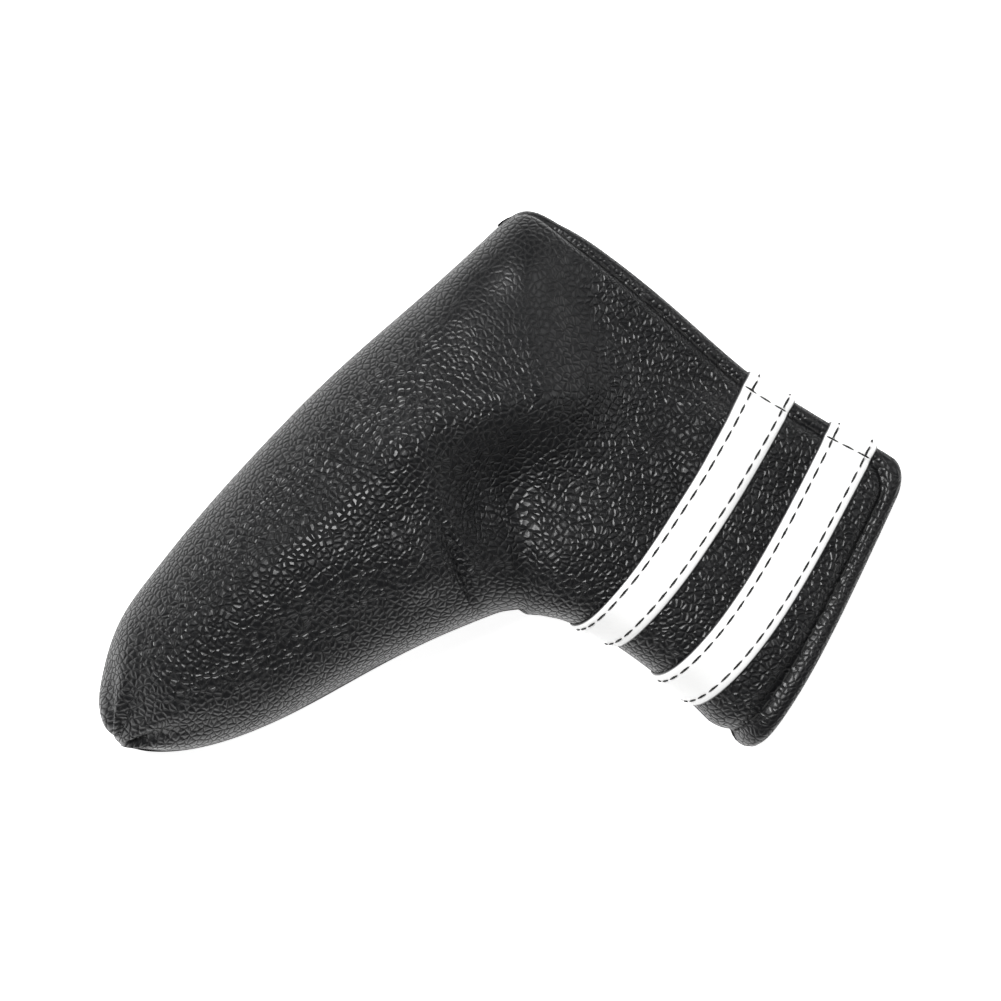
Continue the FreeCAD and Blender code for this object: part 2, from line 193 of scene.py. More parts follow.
@dataclass
class Form:
    """The outside of the cover as two surfaces, and the lines that the pieces are laid out on.

    A point of a surface is named by its run along the cover from the toe and its share of the way across,
    from the sole and heel edge to the instep edge. All lengths are in millimetres.
    """

    toe: tuple[float, float, float] = (88.2, -45.3, 17.0)
    wall: float = 4.7
    slit_half: float = 1.4
    leaf_flat: float = 0.5
    leaf_rise: float = 2.0
    hem_radius: float = 2.2
    hem_inset: float = 3.4
    corner_radius: float = 5.5
    hem_stations: tuple[float, float] = (11, 12)
    mouth_hem_share: float = 0.7
    swell: float = 0.8
    fine_swell: float = 0.25
    gather: float = 1.3
    gather_reach: float = 14.0
    puff: float = 1.5
    groove: float = 0.9
    groove_width: float = 0.75
    spread_start: float = 70.0
    spread_reach: float = 17.0
    ridges: tuple = (
        Ridge(((79.0, -48.6), (40.4, -44.6), (4.6, -40.0), (-16.4, -43.5)), 1.3, 9.0),
        Ridge(((4.0, -42.0), (-16.4, -42.0), (-32.1, -31.6), (-46.0, -22.0), (-62.0, -12.0)),
              2.6, 6.5, 0.2, 0.5),
        Ridge(((-4.0, -28.0), (-17.0, -20.0), (-29.0, -10.0), (-42.0, -3.0)), -5.2, 12.0, 0.3, 0.5),
        Ridge(((-74.0, 3.0), (-58.0, 12.0), (-40.0, 15.0)), 3.4, 12.0, 0.3, 0.4),
        Ridge(((-6.0, -32.0), (-3.6, -26.4), (1.0, -15.3), (7.8, -2.0)), -1.6, 1.3, 0.5, 0.25, True),
        Ridge(((4.0, -33.0), (9.0, -22.0), (13.0, -13.0)), 1.6, 6.0, 0.4, 0.3),
        Ridge(((56.0, -38.0), (30.0, -26.0), (20.0, -20.0)), -1.2, 6.0, 0.4, 0.4),
        Ridge(((-40.0, -52.0), (-60.0, -40.0), (-70.0, -20.0)), -0.8, 8.0, 0.4, 0.4),
    )
    runs: np.ndarray = field(init=False)
    basis: np.ndarray = field(init=False)

    def __post_init__(self) -> None:
        """Work out the run of each station and the spline through them."""
        runs = [0.0, 0.5 * math.dist(STATIONS[0].heel, STATIONS[0].instep)]
        for before, after in zip(STATIONS, STATIONS[1:]):
            heel = math.dist(before.heel, after.heel)
            runs.append(runs[-1] + 0.5 * (heel + math.dist(before.instep, after.instep)))
        self.runs = np.array(runs)
        n = len(runs)
        h = np.diff(self.runs)
        a = np.eye(n)
        b = np.zeros((n, n))
        for i in range(1, n - 1):
            a[i, i - 1 : i + 2] = h[i - 1], 2 * (h[i - 1] + h[i]), h[i]
            b[i, i - 1] += 6 / h[i - 1]
            b[i, i] -= 6 / h[i - 1] + 6 / h[i]
            b[i, i + 1] += 6 / h[i]
        self.basis = np.linalg.solve(a, b)

    @property
    def length(self) -> float:
        """Run of the mouth."""
        return float(self.runs[-1])

    def weights(self, run: np.ndarray) -> np.ndarray:
        """Share of each station in the points at these runs, by a natural cubic spline."""
        i = np.clip(np.searchsorted(self.runs, run) - 1, 0, len(self.runs) - 2)
        h = self.runs[i + 1] - self.runs[i]
        left = (self.runs[i + 1] - run) / h
        right = 1.0 - left
        rows = np.arange(len(run))
        w = np.zeros((len(run), len(self.runs)))
        w[rows, i] += left
        w[rows, i + 1] += right
        w += ((left**3 - left) * h * h / 6)[:, None] * self.basis[i]
        w += ((right**3 - right) * h * h / 6)[:, None] * self.basis[i + 1]
        return w

    def base(self, side: Side, run: np.ndarray, t: np.ndarray) -> np.ndarray:
        """Points of the plain outer surface, before it is sculpted."""
        up = side.value
        rows = [np.stack([np.full_like(t, value) for value in self.toe], -1)]
        for s in STATIONS:
            heel_z = s.heel_z + up * s.opening * (self.slit_half + self.wall)
            crown = s.top if side is Side.FRONT else s.base
            round_z = (8.0 * crown - heel_z - s.instep_z) / 6.0
            flatness = s.opening**2
            first_z = round_z + flatness * (heel_z + up * self.leaf_rise - round_z)
            second_z = (8.0 * crown - heel_z - s.instep_z - 3.0 * first_z) / 3.0
            share = bezier(0.0, flatness * self.leaf_flat, 1.0, 1.0, t)
            x = s.heel[0] + share * (s.instep[0] - s.heel[0])
            y = s.heel[1] + share * (s.instep[1] - s.heel[1]) + s.bow * np.sin(np.pi * t)
            rows.append(np.stack([x, y, bezier(heel_z, first_z, second_z, s.instep_z, t)], -1))
        net = np.stack(rows)
        p = np.einsum("ni,inj->nj", self.weights(run), net)
        p[:, 2] = self.spread_heights(run, t, net[:, :, 2].T)
        return p

    def spread_heights(self, run: np.ndarray, t: np.ndarray, heights: np.ndarray) -> np.ndarray:
        """Heights averaged along the cover near the instep, where the stations crowd together.

        Args:
            run: Points' runs.
            t: Points' shares across.
            heights: For each point, its height on every station.

        Returns:
            The height of each point.
        """
        room = np.minimum(run - self.spread_start, self.length - run) * 0.5
        reach = np.clip(room, 0.0, self.spread_reach) * smooth(0.3, 0.75, t)
        spread = ((-1.0, 1.0), (-0.5, 2.0), (0.0, 3.0), (0.5, 2.0), (1.0, 1.0))
        near = [share * (self.weights(run + step * reach) * heights).sum(axis=1) for step, share in spread]
        return sum(near) / 9.0

    def frame(self, side: Side, run: np.ndarray, t: np.ndarray) -> tuple[np.ndarray, np.ndarray, np.ndarray]:
        """Point, outward normal and the direction towards the heel edge at points of a surface."""
        at = self.base
        run = np.clip(run, 0.6, self.length)
        step = 0.25
        nudge = 0.003
        along = at(side, np.minimum(run + step, self.length), t) - at(side, run - step, t)
        across = at(side, run, np.minimum(t + nudge, 1.0)) - at(side, run, np.maximum(t - nudge, 0.0))
        normal = unit(np.cross(along, across)) * -side.value
        return at(side, run, t), normal, -unit(across)

    def sculpt(self, side: Side, run: np.ndarray, t: np.ndarray, p: np.ndarray) -> np.ndarray:
        """How far the leather stands over the plain surface at points of it."""
        x, y = p[:, 0], p[:, 1]
        lift = np.zeros(len(x))
        if side is Side.FRONT:
            for ridge in self.ridges:
                lift += 0.0 if ridge.to_seam else ridge.lift(x, y)
        edge_fade = smooth(0.0, 0.12, t) * smooth(0.0, 0.10, 1.0 - t)
        soft = np.array([noise.noise(Vector((a, b, 3.0 * side.value)) / 26.0) for a, b in zip(x, y)])
        fine = np.array([noise.noise(Vector((a, b, 7.0 * side.value)) / 9.0) for a, b in zip(x, y)])
        lift = lift * edge_fade + (self.swell * soft + self.fine_swell * fine) * edge_fade
        if side is Side.FRONT:
            lift += sum(ridge.lift(x, y) for ridge in self.ridges if ridge.to_seam)
        angle = np.arctan2(y - self.toe[1], x - self.toe[0] - 1.0)
        reach = np.hypot(x - self.toe[0] - 1.0, y - self.toe[1])
        wave = np.sin(9.0 * angle + 1.3 * np.sin(5.0 * angle))
        lift += self.gather * wave * np.exp(-reach / self.gather_reach) * smooth(0.0, 6.0, reach)
        gap = self.edge_distance(run, t)
        hem = smooth(self.runs[self.hem_stations[0]] - 4.0, self.runs[self.hem_stations[1]], run)
        lift += self.puff * hem * smooth(self.hem_inset - 0.2, self.hem_inset + 2.8, gap)
        lift -= self.groove * hem * np.exp(-(((gap - self.hem_inset) / self.groove_width) ** 2))
        return lift

    def hide_place(self, side: Side, run: np.ndarray, t: np.ndarray) -> np.ndarray:
        """Where points of a surface lie on the hide before it is sewn, in plan."""
        lines, points = 160, 41
        runs, shares = np.linspace(0.0, self.length, lines), np.linspace(0.0, 1.0, points)
        net = self.base(side, np.repeat(runs, points), np.tile(shares, lines)).reshape(lines, points, 3)
        arc = np.cumsum(np.linalg.norm(np.diff(net, axis=1, prepend=net[:, :1]), axis=-1), axis=1)
        middle = points // 2
        arc = arc - arc[:, middle : middle + 1]
        chord = unit(net[:, -1, :2] - net[:, 0, :2])
        a, b = np.clip(run / self.length, 0, 1) * (lines - 1), np.clip(t, 0, 1) * (points - 1)
        i, j = np.minimum(a.astype(int), lines - 2), np.minimum(b.astype(int), points - 2)
        a, b = (a - i)[:, None], (b - j)[:, None]
        low = arc[i, j][:, None] * (1 - b) + arc[i, j + 1][:, None] * b
        high = arc[i + 1, j][:, None] * (1 - b) + arc[i + 1, j + 1][:, None] * b
        centre = net[i, middle, :2] * (1 - a) + net[i + 1, middle, :2] * a
        return centre + unit(chord[i] * (1 - a) + chord[i + 1] * a) * (low * (1 - a) + high * a)

    def across_speed(self, run: np.ndarray) -> np.ndarray:
        """Millimetres of width for each unit of the share across, at the heel edge."""
        run = np.maximum(run, 1.0)
        edge, near = np.zeros_like(run), np.full_like(run, 0.02)
        step = self.base(Side.FRONT, run, near) - self.base(Side.FRONT, run, edge)
        return np.linalg.norm(step, axis=-1) / 0.02

    def edge_distance(self, run: np.ndarray, t: np.ndarray) -> np.ndarray:
        """Distance to the open edge, round the heel and the mouth."""
        heel = t * self.across_speed(run)
        mouth = (self.length - run) * self.mouth_hem_share
        r = 2.0 * self.corner_radius
        a, b = np.maximum(r - heel, 0.0), np.maximum(r - mouth, 0.0)
        return np.where((a > 0) & (b > 0), r - np.hypot(a, b), np.minimum(heel, mouth))

    def skin(self, side: Side, run: np.ndarray, t: np.ndarray, over: float = 0.0) -> np.ndarray:
        """Points of the sculpted leather, or of a layer a constant height over or, if negative, under it."""
        p, normal, _ = self.frame(side, run, t)
        p = np.where((run < 0.6)[:, None], self.base(side, run, t), p)
        normal = np.where((run < 0.6)[:, None], np.array([1.0, 0.0, 0.0]), normal)
        skin = p + normal * self.sculpt(side, run, t, p)[:, None]
        if side is Side.BACK:
            skin[:, 2] = np.maximum(skin[:, 2], self.rest_height(run))
        return skin + normal * over

    def rest_height(self, run: np.ndarray) -> np.ndarray:
        """Lowest that the back's leather lies: on the table, or on a stripe that lies on it."""
        height = np.full_like(run, 0.02)
        for first, last in STRIPES.values():
            start, end = self.runs[first], self.runs[last]
            height = np.maximum(height, 1.3 * smooth(start - 5.0, start, run) * smooth(-5.0, 0.0, end - run))
        return height

    def hem_size(self, run: np.ndarray) -> np.ndarray:
        """Radius of the rolled hem at the heel edge; it grows from nothing where the sole's fold ends."""
        start, full = self.runs[self.hem_stations[0]] - 6.0, self.runs[self.hem_stations[1]]
        return self.hem_radius * smooth(start, full, run)


FORM = Form()


def grid_mesh(columns: int, rows: int, place: Place) -> bmesh.types.BMesh:
    """Grid whose vertices are moved to where place puts them.

    Args:
        columns: Faces along the grid.
        rows: Faces across it.
        place: Takes arrays u and v from 0 to 1, and returns points in millimetres.

    Returns:
        The mesh, with u and v kept as vertex layers.
    """
    bm = bmesh.new()
    bmesh.ops.create_grid(bm, x_segments=columns, y_segments=rows, size=0.5)
    flat = np.array([v.co for v in bm.verts])
    u = (flat[:, 0] - flat[:, 0].min()) / np.ptp(flat[:, 0])
    w = (flat[:, 1] - flat[:, 1].min()) / np.ptp(flat[:, 1])
    keep_u = bm.verts.layers.float.new("u")
    keep_v = bm.verts.layers.float.new("v")
    points = place(u, w) * MM
    for vert, point, a, b in zip(bm.verts, points, u, w):
        vert.co = point
        vert[keep_u] = a
        vert[keep_v] = b
    return bm


def face_out(bm: bmesh.types.BMesh, side: Side) -> None:
    """Turn the faces of a sheet so that most of them look out on its own side."""
    bmesh.ops.recalc_face_normals(bm, faces=bm.faces)
    if sum(face.normal.z * face.calc_area() for face in bm.faces) * side.value < 0:
        bmesh.ops.reverse_faces(bm, faces=bm.faces)
    bm.normal_update()


def finish_mesh(name: str, bm: bmesh.types.BMesh, look: "Finish") -> bpy.types.Object:
    """Turn a bmesh into a smooth piece with its finish."""
    for face in bm.faces:
        face.smooth = True
    mesh = bpy.data.meshes.new(name)
    bm.to_mesh(mesh)
    bm.free()
    piece = bpy.data.objects.new(name, mesh)
    bpy.context.scene.collection.objects.link(piece)
    rest = mesh.attributes.new("rest_place", "FLOAT_VECTOR", "POINT")
    places = np.empty(len(mesh.vertices) * 3, dtype=np.float32)
    mesh.vertices.foreach_get("co", places)
    rest.data.foreach_set("vector", places)
    mesh.materials.append(look.material())
    return piece


def apply_all(piece: bpy.types.Object) -> None:
    """Apply every modifier of a piece to its mesh."""
    graph = bpy.context.evaluated_depsgraph_get()
    done = bpy.data.meshes.new_from_object(piece.evaluated_get(graph))
    piece.modifiers.clear()
    piece.data = done


def thicken(piece: bpy.types.Object, thickness: float) -> None:
    """Give a sheet its thickness, inwards."""
    solid = piece.modifiers.new("thickness", "SOLIDIFY")
    solid.thickness = thickness * MM
    solid.offset = -1.0
    solid.use_even_offset = False
    apply_all(piece)


@dataclass(frozen=True)
class Finish:
    """A surface finish: what every material starts from."""

    name: str
    colour: tuple[float, float, float]
    roughness: float

    def material(self) -> bpy.types.Material:
        """The material, made once."""
        found = bpy.data.materials.get(self.name)
        if found:
            return found
        made = bpy.data.materials.new(self.name)
        made.use_nodes = True
        tree = made.node_tree
        shader = tree.nodes["Principled BSDF"]
        shader.inputs["Base Color"].default_value = (*self.colour, 1.0)
        shader.inputs["Roughness"].default_value = self.roughness
        self.dress(tree, shader)
        return made

    def dress(self, tree: bpy.types.NodeTree, shader: bpy.types.Node) -> None:
        """Add the finish's own nodes."""

    def place(self, tree: bpy.types.NodeTree) -> bpy.types.NodeSocket:
        """Where each point of the piece lay when it was made, so that a pattern doesn't slide as it bends."""
        node = tree.nodes.new("ShaderNodeAttribute")
        node.attribute_name = "rest_place"
        return node.outputs["Vector"]

    def add(self, tree: bpy.types.NodeTree, kind: str, links: dict, **values) -> bpy.types.Node:
        """Add a node, set its values and link its inputs."""
        node = tree.nodes.new(kind)
        for key, value in values.items():
            setattr(node, key, value)
        for socket, source in links.items():
            if isinstance(source, bpy.types.NodeSocket):
                tree.links.new(source, node.inputs[socket])
            else:
                node.inputs[socket].default_value = source
        return node


@dataclass(frozen=True)
class PebbledLeather(Finish):
    """Black coated leather with a rounded pebble grain."""

    pebble: float = 1.55
    depth: float = 0.40

    def dress(self, tree: bpy.types.NodeTree, shader: bpy.types.Node) -> None:
        """Pebbles with furrows between them painted darker as shade, uneven in size and height, and a soft
        shine on top.
        """
        add = partial(self.add, tree)
        across = add("ShaderNodeAttribute", {}, attribute_name="hide_x")
        along = add("ShaderNodeAttribute", {}, attribute_name="hide_y")
        hide = add("ShaderNodeCombineXYZ", {0: across.outputs["Fac"], 1: along.outputs["Fac"]})
        coarse = add("ShaderNodeAttribute", {}, attribute_name="grain")
        warp = add("ShaderNodeTexNoise", {"Vector": hide.outputs[0], "Scale": 300.0, "Detail": 2.0})
        shift = add("ShaderNodeVectorMath", {0: warp.outputs["Color"], 1: (0.5, 0.5, 0.5)},
                    operation="SUBTRACT")
        small = add("ShaderNodeVectorMath", {0: shift.outputs[0], "Scale": 0.0016}, operation="SCALE")
        bent = add("ShaderNodeVectorMath", {0: hide.outputs[0], 1: small.outputs[0]}, operation="ADD")
        cell = {"Vector": bent.outputs[0], "Scale": 1000.0 / self.pebble, "Randomness": 0.9}
        gap = add("ShaderNodeTexVoronoi", cell, feature="DISTANCE_TO_EDGE", voronoi_dimensions="2D")
        whole = add("ShaderNodeTexVoronoi", cell, feature="F1", voronoi_dimensions="2D")
        rise = add("ShaderNodeMapRange", {"Value": gap.outputs["Distance"], 1: 0.0, 2: 0.32, 3: 0.0, 4: 1.0})
        dome = add("ShaderNodeMath", {0: rise.outputs[0], 1: 0.62}, operation="POWER")
        tone = add("ShaderNodeSeparateColor", {0: whole.outputs["Color"]})
        height = add("ShaderNodeMapRange", {"Value": tone.outputs[0], 1: 0.0, 2: 1.0, 3: 0.65, 4: 1.0})
        pebbles = add("ShaderNodeMath", {0: dome.outputs[0], 1: height.outputs[0]}, operation="MULTIPLY")
        broad = add("ShaderNodeTexNoise", {"Vector": hide.outputs[0], "Scale": 45.0, "Detail": 2.0})
        patch = add("ShaderNodeMapRange", {"Value": broad.outputs[0], 1: 0.3, 2: 0.7, 3: 0.75, 4: 1.0})
        deep = add("ShaderNodeMath", {0: patch.outputs[0], 1: coarse.outputs["Fac"]}, operation="MULTIPLY")
        bump = add("ShaderNodeBump", {"Height": pebbles.outputs[0], "Strength": deep.outputs[0],
                                      "Distance": self.depth * MM})
        fine = add("ShaderNodeTexNoise", {"Vector": hide.outputs[0], "Scale": 2400.0, "Detail": 3.0})
        pores = add("ShaderNodeBump", {"Height": fine.outputs[0], "Strength": 0.22, "Distance": 0.0001,
                                       "Normal": bump.outputs[0]})
        tree.links.new(pores.outputs[0], shader.inputs["Normal"])
        # Painted shade: the base colour is darkened in the furrows between the pebbles; the same mask also
        # roughens the furrows.
        floor = add("ShaderNodeMapRange", {"Value": rise.outputs[0], 1: 0.0, 2: 0.45, 3: 0.0, 4: 1.0})
        furrow_painted_shade = add("ShaderNodeMix", {"Factor": floor.outputs[0], 6: (0.003, 0.003, 0.0032, 1),
                                      7: (*self.colour, 1)}, data_type="RGBA")
        tree.links.new(furrow_painted_shade.outputs[2], shader.inputs["Base Color"])
        rough = add("ShaderNodeMapRange",
                    {"Value": floor.outputs[0], 1: 0.0, 2: 1.0, 3: 0.8, 4: self.roughness})
        tree.links.new(rough.outputs[0], shader.inputs["Roughness"])
        shader.inputs["Specular IOR Level"].default_value = 0.45


@dataclass(frozen=True)
class WhiteLeather(Finish):
    """Smooth white coated leather with a dark line along both long edges."""

    def dress(self, tree: bpy.types.NodeTree, shader: bpy.types.Node) -> None:
        """Fine pores and a dark line along both long edges."""
        add, place = partial(self.add, tree), self.place(tree)
        pores = add("ShaderNodeTexNoise", {"Vector": place, "Scale": 1500.0, "Detail": 3.0})
        soft = add("ShaderNodeTexNoise", {"Vector": place, "Scale": 220.0, "Detail": 2.0})
        bump = add("ShaderNodeBump", {"Height": pores.outputs[0], "Strength": 0.2, "Distance": 0.0001})
        bump2 = add("ShaderNodeBump", {"Height": soft.outputs[0], "Strength": 0.3, "Distance": 0.0002,
                                       "Normal": bump.outputs[0]})
        tree.links.new(bump2.outputs[0], shader.inputs["Normal"])
        edge = add("ShaderNodeAttribute", {}, attribute_name="edge")
        tone = add("ShaderNodeMix", {"Factor": edge.outputs["Fac"], 6: (*self.colour, 1),
                                     7: (0.02, 0.02, 0.021, 1)}, data_type="RGBA")
        tree.links.new(tone.outputs[2], shader.inputs["Base Color"])


@dataclass(frozen=True)
class Thread(Finish):
    """Twisted thread."""

    def dress(self, tree: bpy.types.NodeTree, shader: bpy.types.Node) -> None:
        """Fine strands."""
        add, place = partial(self.add, tree), self.place(tree)
        strands = add("ShaderNodeTexWave", {"Vector": place, "Scale": 900.0, "Distortion": 1.5},
                      bands_direction="DIAGONAL")
        bump = add("ShaderNodeBump", {"Height": strands.outputs[1], "Strength": 0.5, "Distance": 0.0001})
        tree.links.new(bump.outputs[0], shader.inputs["Normal"])
        shader.inputs["Sheen Weight"].default_value = 0.3


@dataclass(frozen=True)
class Pile(Finish):
    """Fleece, looped or hooked pile, or foam: a soft or stiff nap of small tufts."""

    tuft: float = 0.9
    depth: float = 0.5
    sheen: float = 0.4

    def dress(self, tree: bpy.types.NodeTree, shader: bpy.types.Node) -> None:
        """Tufts in two sizes, with the colour darker in places by a fine noise."""
        add, place = partial(self.add, tree), self.place(tree)
        tufts = add("ShaderNodeTexVoronoi", {"Vector": place, "Scale": 1000.0 / self.tuft}, feature="F1")
        fuzz = add("ShaderNodeTexNoise", {"Vector": place, "Scale": 1800.0, "Detail": 4.0})
        bump = add("ShaderNodeBump", {"Height": tufts.outputs["Distance"], "Strength": 0.8,
                                      "Distance": self.depth * MM}, invert=True)
        bump2 = add("ShaderNodeBump", {"Height": fuzz.outputs[0], "Strength": 0.6, "Distance": 0.0002,
                                       "Normal": bump.outputs[0]})
        tree.links.new(bump2.outputs[0], shader.inputs["Normal"])
        low = tuple(0.45 * c for c in self.colour)
        tone = add("ShaderNodeMix", {"Factor": fuzz.outputs[0], 6: (*low, 1), 7: (*self.colour, 1)},
                   data_type="RGBA")
        tree.links.new(tone.outputs[2], shader.inputs["Base Color"])
        shader.inputs["Sheen Weight"].default_value = self.sheen


BLACK = PebbledLeather("black_pebbled_leather", (0.0050, 0.0052, 0.0060), 0.36)
WHITE = WhiteLeather("white_smooth_leather", (0.96, 0.96, 0.955), 0.42)
THREAD = Thread("black_thread", (0.012, 0.012, 0.013), 0.6)
FLEECE = Pile("black_fleece", (0.03, 0.03, 0.034), 0.9)
FOAM = Pile("grey_foam", (0.4, 0.4, 0.39), 0.95, 1.4, 0.6, 0.0)
HOOKS = Pile("hook_pile", (0.02, 0.02, 0.022), 0.5, 1.1, 0.7, 0.1)
LOOPS = Pile("loop_pile", (0.022, 0.022, 0.024), 0.9, 0.7, 0.5, 0.6)


@dataclass
class Fold:
    """Where the leaf bends away from the pocket, from the end of the sole to the instep end of the mouth."""

    heel: tuple[float, float] = (-69.0, -62.0)
    instep: tuple[float, float] = (-14.0, 62.0)
    width: float = 34.0

    def bend(self, piece: bpy.types.Object) -> None:
        """Let a piece of the front bend from the pocket to the leaf across the fold."""
        along = Vector((self.instep[0] - self.heel[0], self.instep[1] - self.heel[1], 0.0)).normalized()
        square = Vector((-along.y, along.x, 0.0))
        start = Vector((*self.heel, 0.0)) * MM
        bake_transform(piece, POCKET, LEAF, start=start, end=start + square * (self.width * MM))


FOLD = Fold()


def settle(piece: bpy.types.Object, side: Side) -> None:
    """Let a piece of the back ride on the pocket, and one of the front bend across the fold."""
    if side is Side.BACK:
        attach(piece, POCKET)
    else:
        FOLD.bend(piece)


@dataclass
class Shell:
    """The leather outside: the front with its leaf, and the back, with the hem turned in at the opening."""

    thickness: float = 1.0
    columns: int = 290
    rows: int = 120
    roll_steps: int = 6
    flap: float = 6.0
    crowding: float = 0.94
    seam_radius: float = 0.45
    least_radius: float = 0.3
    mouth_taper: float = 0.7

    def place(self, side: Side) -> Place:
        """Function that lays the grid out on one side, up to where the hem starts to roll."""

        def laid(u: np.ndarray, v: np.ndarray) -> np.ndarray:
            """Points of the leather."""
            return FORM.skin(side, *self.lines(u, v))

        return laid

    def lines(self, u: np.ndarray, v: np.ndarray) -> tuple[np.ndarray, np.ndarray]:
        """Run and share across of the points of the grid, closer together at both edges."""
        run = FORM.length * u**self.crowding
        run = run - FORM.hem_radius * smooth(FORM.length - 30.0, FORM.length, run)
        speed = FORM.across_speed(np.minimum(run, FORM.length))
        start = FORM.hem_size(run) / speed
        t = start + (1.0 - start) * (v - 0.05 * np.sin(2.0 * np.pi * v))
        depth = FORM.corner_radius
        a = 1.0 - np.clip((FORM.length - FORM.hem_radius - run) / depth, 0.0, 1.0)
        b = 1.0 - np.clip((t - start) * speed / depth, 0.0, 1.0)
        a2, b2 = a * np.sqrt(1.0 - b * b / 2.0), b * np.sqrt(1.0 - a * a / 2.0)
        corner = (a > 0) & (b > 0)
        run = np.where(corner, FORM.length - FORM.hem_radius - depth * (1.0 - a2), run)
        return run, np.where(corner, start + depth * (1.0 - b2) / speed, t)

    def mark_hide(self, bm: bmesh.types.BMesh, side: Side) -> None:
        """Keep at each vertex its place on the hide, and how coarse the grain is there."""
        across_x, across_y = bm.verts.layers.float.new("hide_x"), bm.verts.layers.float.new("hide_y")
        coarse = bm.verts.layers.float.new("grain")
        keep_u, keep_v = bm.verts.layers.float["u"], bm.verts.layers.float["v"]
        u, v = (np.array([vert[layer] for vert in bm.verts]) for layer in (keep_u, keep_v))
        place = FORM.hide_place(side, *self.lines(u, v)) * MM
        run, t = self.lines(u, v)
        band = smooth(FORM.hem_inset - 1.0, FORM.hem_inset + 0.6, FORM.edge_distance(run, t))
        band = np.where(run > FORM.runs[FORM.hem_stations[0]], band, 1.0)
        grain = self.grain(np.array([vert.co for vert in bm.verts]) / MM) * (0.45 + 0.55 * band)
        for vert, (x, y), value in zip(bm.verts, place, grain):
            vert[across_x], vert[across_y], vert[coarse] = x, y, value

    def grain(self, points: np.ndarray) -> np.ndarray:
        """How deep the pebbles stand: the leather is stretched nearly smooth over the heel's corner."""
        x, y = points[:, 0], points[:, 1]
        stretched = np.exp(-(((x + 53.0) / 24.0) ** 2) - ((y + 50.0) / 18.0) ** 2)
        crotch = np.exp(-(((x - 6.0) / 26.0) ** 2) - ((y + 2.0) / 9.0) ** 2)
        return 1.0 - 0.8 * stretched - 0.35 * crotch

    def build(self, side: Side) -> bpy.types.Object:
        """One side's leather, closed and with its thickness."""
        bm = grid_mesh(self.columns, self.rows, self.place(side))
        bmesh.ops.remove_doubles(bm, verts=bm.verts, dist=1e-6)
        face_out(bm, side)
        self.mark_hide(bm, side)
        self.turn_in(bm, side)
        face_out(bm, side)
        name = side.name.lower()
        piece = finish_mesh(name + "_leather", bm, BLACK)
        thicken(piece, self.thickness)
        if side is Side.FRONT:
            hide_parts("front_cover", "leaf_cover")
        else:
            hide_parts("back_cover")
        settle(piece, side)
        LOG.info("%s: %d faces", piece.name, len(piece.data.polygons))
        return piece

    def turn_in(self, bm: bmesh.types.BMesh, side: Side) -> None:
        """Roll the hem round the open edge, and tuck the instep edge in at its seam."""
        ident = bm.verts.layers.int.new("ident")
        keep_u, keep_v = bm.verts.layers.float["u"], bm.verts.layers.float["v"]
        hide_x, hide_y = bm.verts.layers.float["hide_x"], bm.verts.layers.float["hide_y"]
        open_edges = [e for e in bm.edges if e.is_boundary]
        chain = [e for e in open_edges if all(self.turned(v[keep_u], v[keep_v]) for v in e.verts)]
        verts = {v for e in chain for v in e.verts}
        frames = {}
        rim = list(verts)
        rim_u, rim_v = (np.array([vert[layer] for vert in rim]) for layer in (keep_u, keep_v))
        _, plain, _ = FORM.frame(side, *self.lines(rim_u, rim_v))
        for vert, level in zip(rim, plain):
            edges = [e for e in vert.link_edges if e.is_boundary and e in chain]
            ends = [e.other_vert(vert).co for e in edges]
            tangent = (ends[0] - ends[-1]) if len(ends) > 1 else (ends[0] - vert.co)
            normal = Vector(level)
            inside = sum((f.calc_center_median() for f in vert.link_faces), Vector()) / len(vert.link_faces)
            middle = vert.co - inside
            out = tangent.cross(normal).normalized()
            if out.dot(middle) < 0:
                out.negate()
            near = [v for f in vert.link_faces for v in f.verts if v not in verts]
            here = Vector((vert[hide_x], vert[hide_y]))
            beyond = sum((here - Vector((v[hide_x], v[hide_y])) for v in near), Vector((0.0, 0.0)))
            if beyond.length > 0.0:
                beyond.normalize()
            radius = self.radius(vert[keep_u], vert[keep_v])
            frames[vert.index] = (vert.co.copy(), normal, out, radius, here, beyond)
        for vert in verts:
            vert[ident] = vert.index
        edges = chain
        for angle, back in self.profile():
            made = bmesh.ops.extrude_edge_only(bm, edges=edges)["geom"]
            edges = [g for g in made if isinstance(g, bmesh.types.BMEdge)]
            for vert in {v for e in edges for v in e.verts}:
                place, normal, out, radius, here, beyond = frames[vert[ident]]
                centre = place - normal * radius
                point = centre + (normal * math.cos(angle) + out * math.sin(angle)) * radius
                vert.co = point - out * back * min(1.0, radius / (FORM.hem_radius * MM) + 0.05)
                vert[hide_x], vert[hide_y] = here + beyond * (angle * radius + back)

    def hem_start_u(self) -> float:
        """Where along the grid the sole's fold ends."""
        return ((FORM.runs[FORM.hem_stations[0]] - 5.0) / FORM.length) ** (1.0 / self.crowding)

    def turned(self, u: float, v: float) -> bool:
        """Whether a place on the grid's boundary is on an edge that turns in."""
        if u < 1e-4:
            return False
        return v > EDGE or u > EDGE or (v < 1.0 - EDGE and u > self.hem_start_u())

    def radius(self, u: float, v: float) -> float:
        """Radius, in metres, at which the edge turns in."""
        run = FORM.length * u**self.crowding
        hem = float(FORM.hem_size(np.array([run]))[0])
        if v > EDGE and u < EDGE:
            return self.seam_radius * MM
        if u > EDGE:
            hem *= 1.0 - self.mouth_taper * float(smooth(0.88, 1.0, v))
        return max(hem, self.least_radius) * MM

    def profile(self) -> list[tuple[float, float]]:
        """Angle round the roll and distance back inside, for each ring of the turned edge."""
        rings = [(math.pi * k / self.roll_steps, 0.0) for k in range(1, self.roll_steps + 1)]
        return rings + [(math.pi, self.flap * MM * k / 3.0) for k in (1, 2, 3)]


